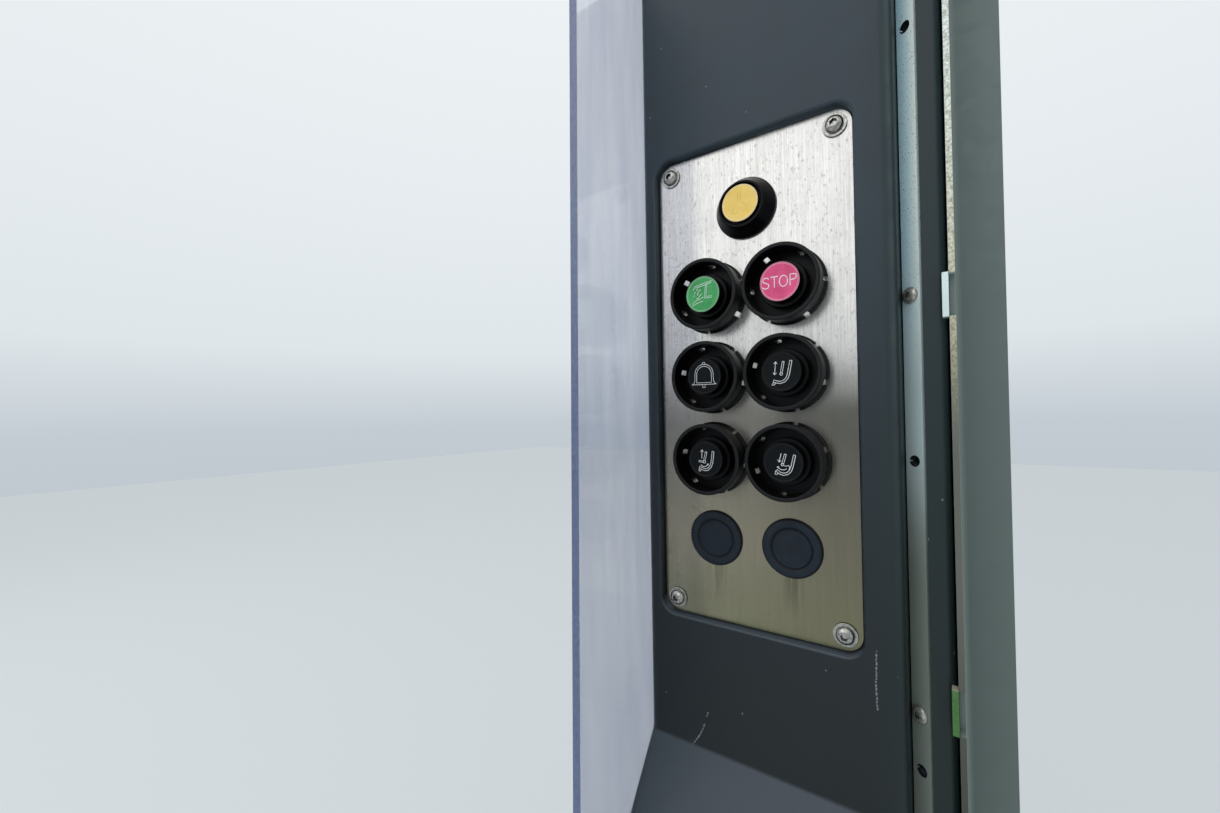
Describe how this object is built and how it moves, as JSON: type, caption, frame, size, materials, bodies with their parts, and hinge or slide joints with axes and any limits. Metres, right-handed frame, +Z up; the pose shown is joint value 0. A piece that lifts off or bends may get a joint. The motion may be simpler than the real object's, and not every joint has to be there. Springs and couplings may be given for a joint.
{
  "type": "refuse truck control station",
  "caption": "Rear operator control station of a refuse truck: moulded housing, recessed steel button plate, collared push-buttons, clear side guard and galvanised carrier.",
  "frame": {"origin": "centre of the carrier's bolt pattern, on the carrier's back face, level with the middle of the button plate", "axes": "+X to the operator's right, +Y into the truck body (away from the operator), +Z up"},
  "size_m": [0.2235, 0.1637, 0.7],
  "materials": {
    "galvanised": "hot-dip galvanised, fine spangle",
    "housing_grey": "moulded, dark slate grey, fine grain",
    "stainless": "vertical brushed grain",
    "zinc": "bright zinc plated",
    "clear_sheet": "clear polycarbonate, faint lavender tint",
    "black_moulding": "black, satin",
    "green_paint": "thin green overspray",
    "plug_rubber": "blue grey, matt",
    "cap_green": "satin, white line symbol",
    "cap_red": "satin, white lettering",
    "cap_yellow": "satin",
    "cap_black": "satin, white line symbol"
  },
  "bodies": {
    "station": {"carrier": "galvanised", "web_angle": "galvanised", "housing": "housing_grey", "housing_screws": "zinc", "face_plate": "stainless", "plate_inserts": "zinc", "plate_washers": "zinc", "plate_screws": "zinc", "clamp_strip": "galvanised", "strip_screws": "zinc", "edge_trim": "housing_grey", "clear_guard": "clear_sheet", "guard_washers": "zinc", "guard_screws": "zinc", "horn_cone": "black_moulding", "edge_tab_upper": "galvanised", "edge_tab_lower": "green_paint", "collar_green": "black_moulding", "collar_stop": "black_moulding", "collar_bell": "black_moulding", "collar_lift": "black_moulding", "collar_raise": "black_moulding", "collar_lower": "black_moulding", "barrel_green": "black_moulding", "barrel_stop": "black_moulding", "barrel_bell": "black_moulding", "barrel_lift": "black_moulding", "barrel_raise": "black_moulding", "barrel_lower": "black_moulding", "barrel_horn": "black_moulding", "lock_nuts": "zinc", "contact_blocks": "black_moulding", "blanking_plug_left": "plug_rubber", "blanking_plug_right": "plug_rubber"},
    "push_green": {"cap_green": "cap_green"},
    "push_stop": {"cap_stop": "cap_red"},
    "push_bell": {"cap_bell": "cap_black"},
    "push_lift": {"cap_lift": "cap_black"},
    "push_raise": {"cap_raise": "cap_black"},
    "push_lower": {"cap_lower": "cap_black"},
    "push_horn": {"cap_horn": "cap_yellow"}
  },
  "joints": [
    {"name": "press_green", "type": "slide", "parent": "station", "child": "push_green", "axis": [0, 1, 0], "range_m": [0, 0.004], "stiffness_N_per_m": 900, "springref_m": -0.002},
    {"name": "press_stop", "type": "slide", "parent": "station", "child": "push_stop", "axis": [0, 1, 0], "range_m": [0, 0.004], "stiffness_N_per_m": 900, "springref_m": -0.002},
    {"name": "press_bell", "type": "slide", "parent": "station", "child": "push_bell", "axis": [0, 1, 0], "range_m": [0, 0.004], "stiffness_N_per_m": 900, "springref_m": -0.002},
    {"name": "press_lift", "type": "slide", "parent": "station", "child": "push_lift", "axis": [0, 1, 0], "range_m": [0, 0.004], "stiffness_N_per_m": 900, "springref_m": -0.002},
    {"name": "press_raise", "type": "slide", "parent": "station", "child": "push_raise", "axis": [0, 1, 0], "range_m": [0, 0.004], "stiffness_N_per_m": 900, "springref_m": -0.002},
    {"name": "press_lower", "type": "slide", "parent": "station", "child": "push_lower", "axis": [0, 1, 0], "range_m": [0, 0.004], "stiffness_N_per_m": 900, "springref_m": -0.002},
    {"name": "press_horn", "type": "slide", "parent": "station", "child": "push_horn", "axis": [0, 1, 0], "range_m": [0, 0.004], "stiffness_N_per_m": 900, "springref_m": -0.002}
  ]
}
